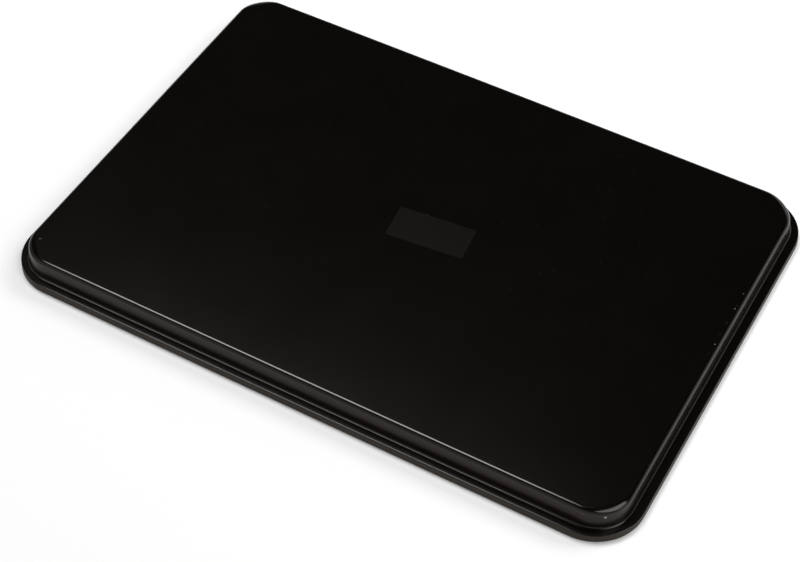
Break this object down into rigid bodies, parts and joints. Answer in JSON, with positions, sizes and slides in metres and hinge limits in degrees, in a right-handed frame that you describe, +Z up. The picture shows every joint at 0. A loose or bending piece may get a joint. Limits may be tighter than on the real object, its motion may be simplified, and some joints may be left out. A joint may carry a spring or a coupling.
{
  "type": "sheet pan",
  "caption": "Shallow full-size sheet pan moulded in black glass-fibre polyester, lying face down: rounded corners, drafted wall and a steel-cored bead rim.",
  "frame": {"origin": "centre of the plane that the rim rests on, with the pan lying face down", "axes": "+X along the long side, +Y along the short side, +Z up from the rim's face to the underside of the pan's floor"},
  "size_m": [0.65, 0.455, 0.028],
  "materials": {
    "moulded_polyester": "black glass-fibre polyester, compression moulded, smooth satin gloss",
    "rod_steel": "drawn round steel rod, plain"
  },
  "bodies": {
    "root": {"pan_moulding": "moulded_polyester", "rim_rod": "rod_steel"}
  },
  "joints": []
}
